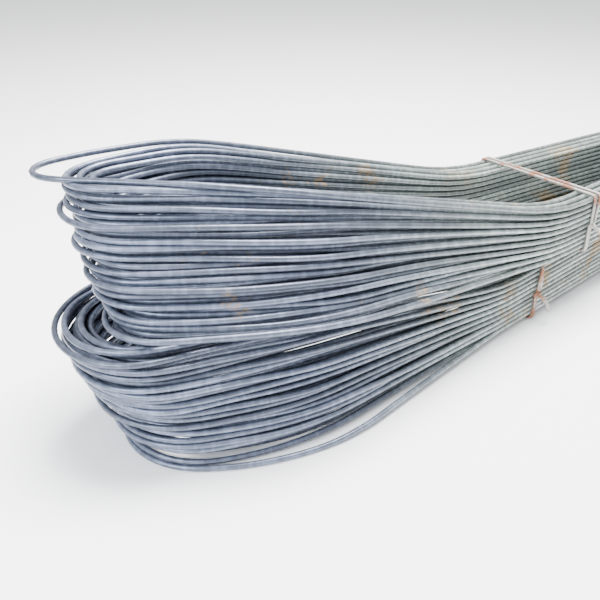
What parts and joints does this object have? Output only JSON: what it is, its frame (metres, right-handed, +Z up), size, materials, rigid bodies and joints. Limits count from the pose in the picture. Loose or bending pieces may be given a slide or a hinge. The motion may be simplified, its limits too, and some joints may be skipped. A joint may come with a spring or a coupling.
{
  "type": "plain round rebar bundles, folded",
  "caption": "Plain round steel reinforcing bars folded in half into U-shaped loops and tied with wire into flat bundles stacked one on another.",
  "frame": {"origin": "middle of the footprint, on the floor that the bundles lie on", "axes": "+X along the bars from the loops to the cut ends, +Z up"},
  "size_m": [5.0858, 0.3992, 0.397],
  "materials": {
    "bar_steel": "hot-rolled, blue-grey with light rust",
    "tie_wire": "dark rusty wire"
  },
  "bodies": {
    "root": {"lower_loose_bar": "bar_steel", "lower_outer_bars": "bar_steel", "lower_inner_bars": "bar_steel", "lower_tie_1": "tie_wire", "lower_tie_2": "tie_wire", "lower_tie_3": "tie_wire", "lower_tie_4": "tie_wire", "upper_loose_bar": "bar_steel", "upper_outer_bars": "bar_steel", "upper_inner_bars": "bar_steel", "upper_tie_1": "tie_wire", "upper_tie_2": "tie_wire", "upper_tie_3": "tie_wire", "upper_tie_4": "tie_wire"}
  },
  "joints": []
}
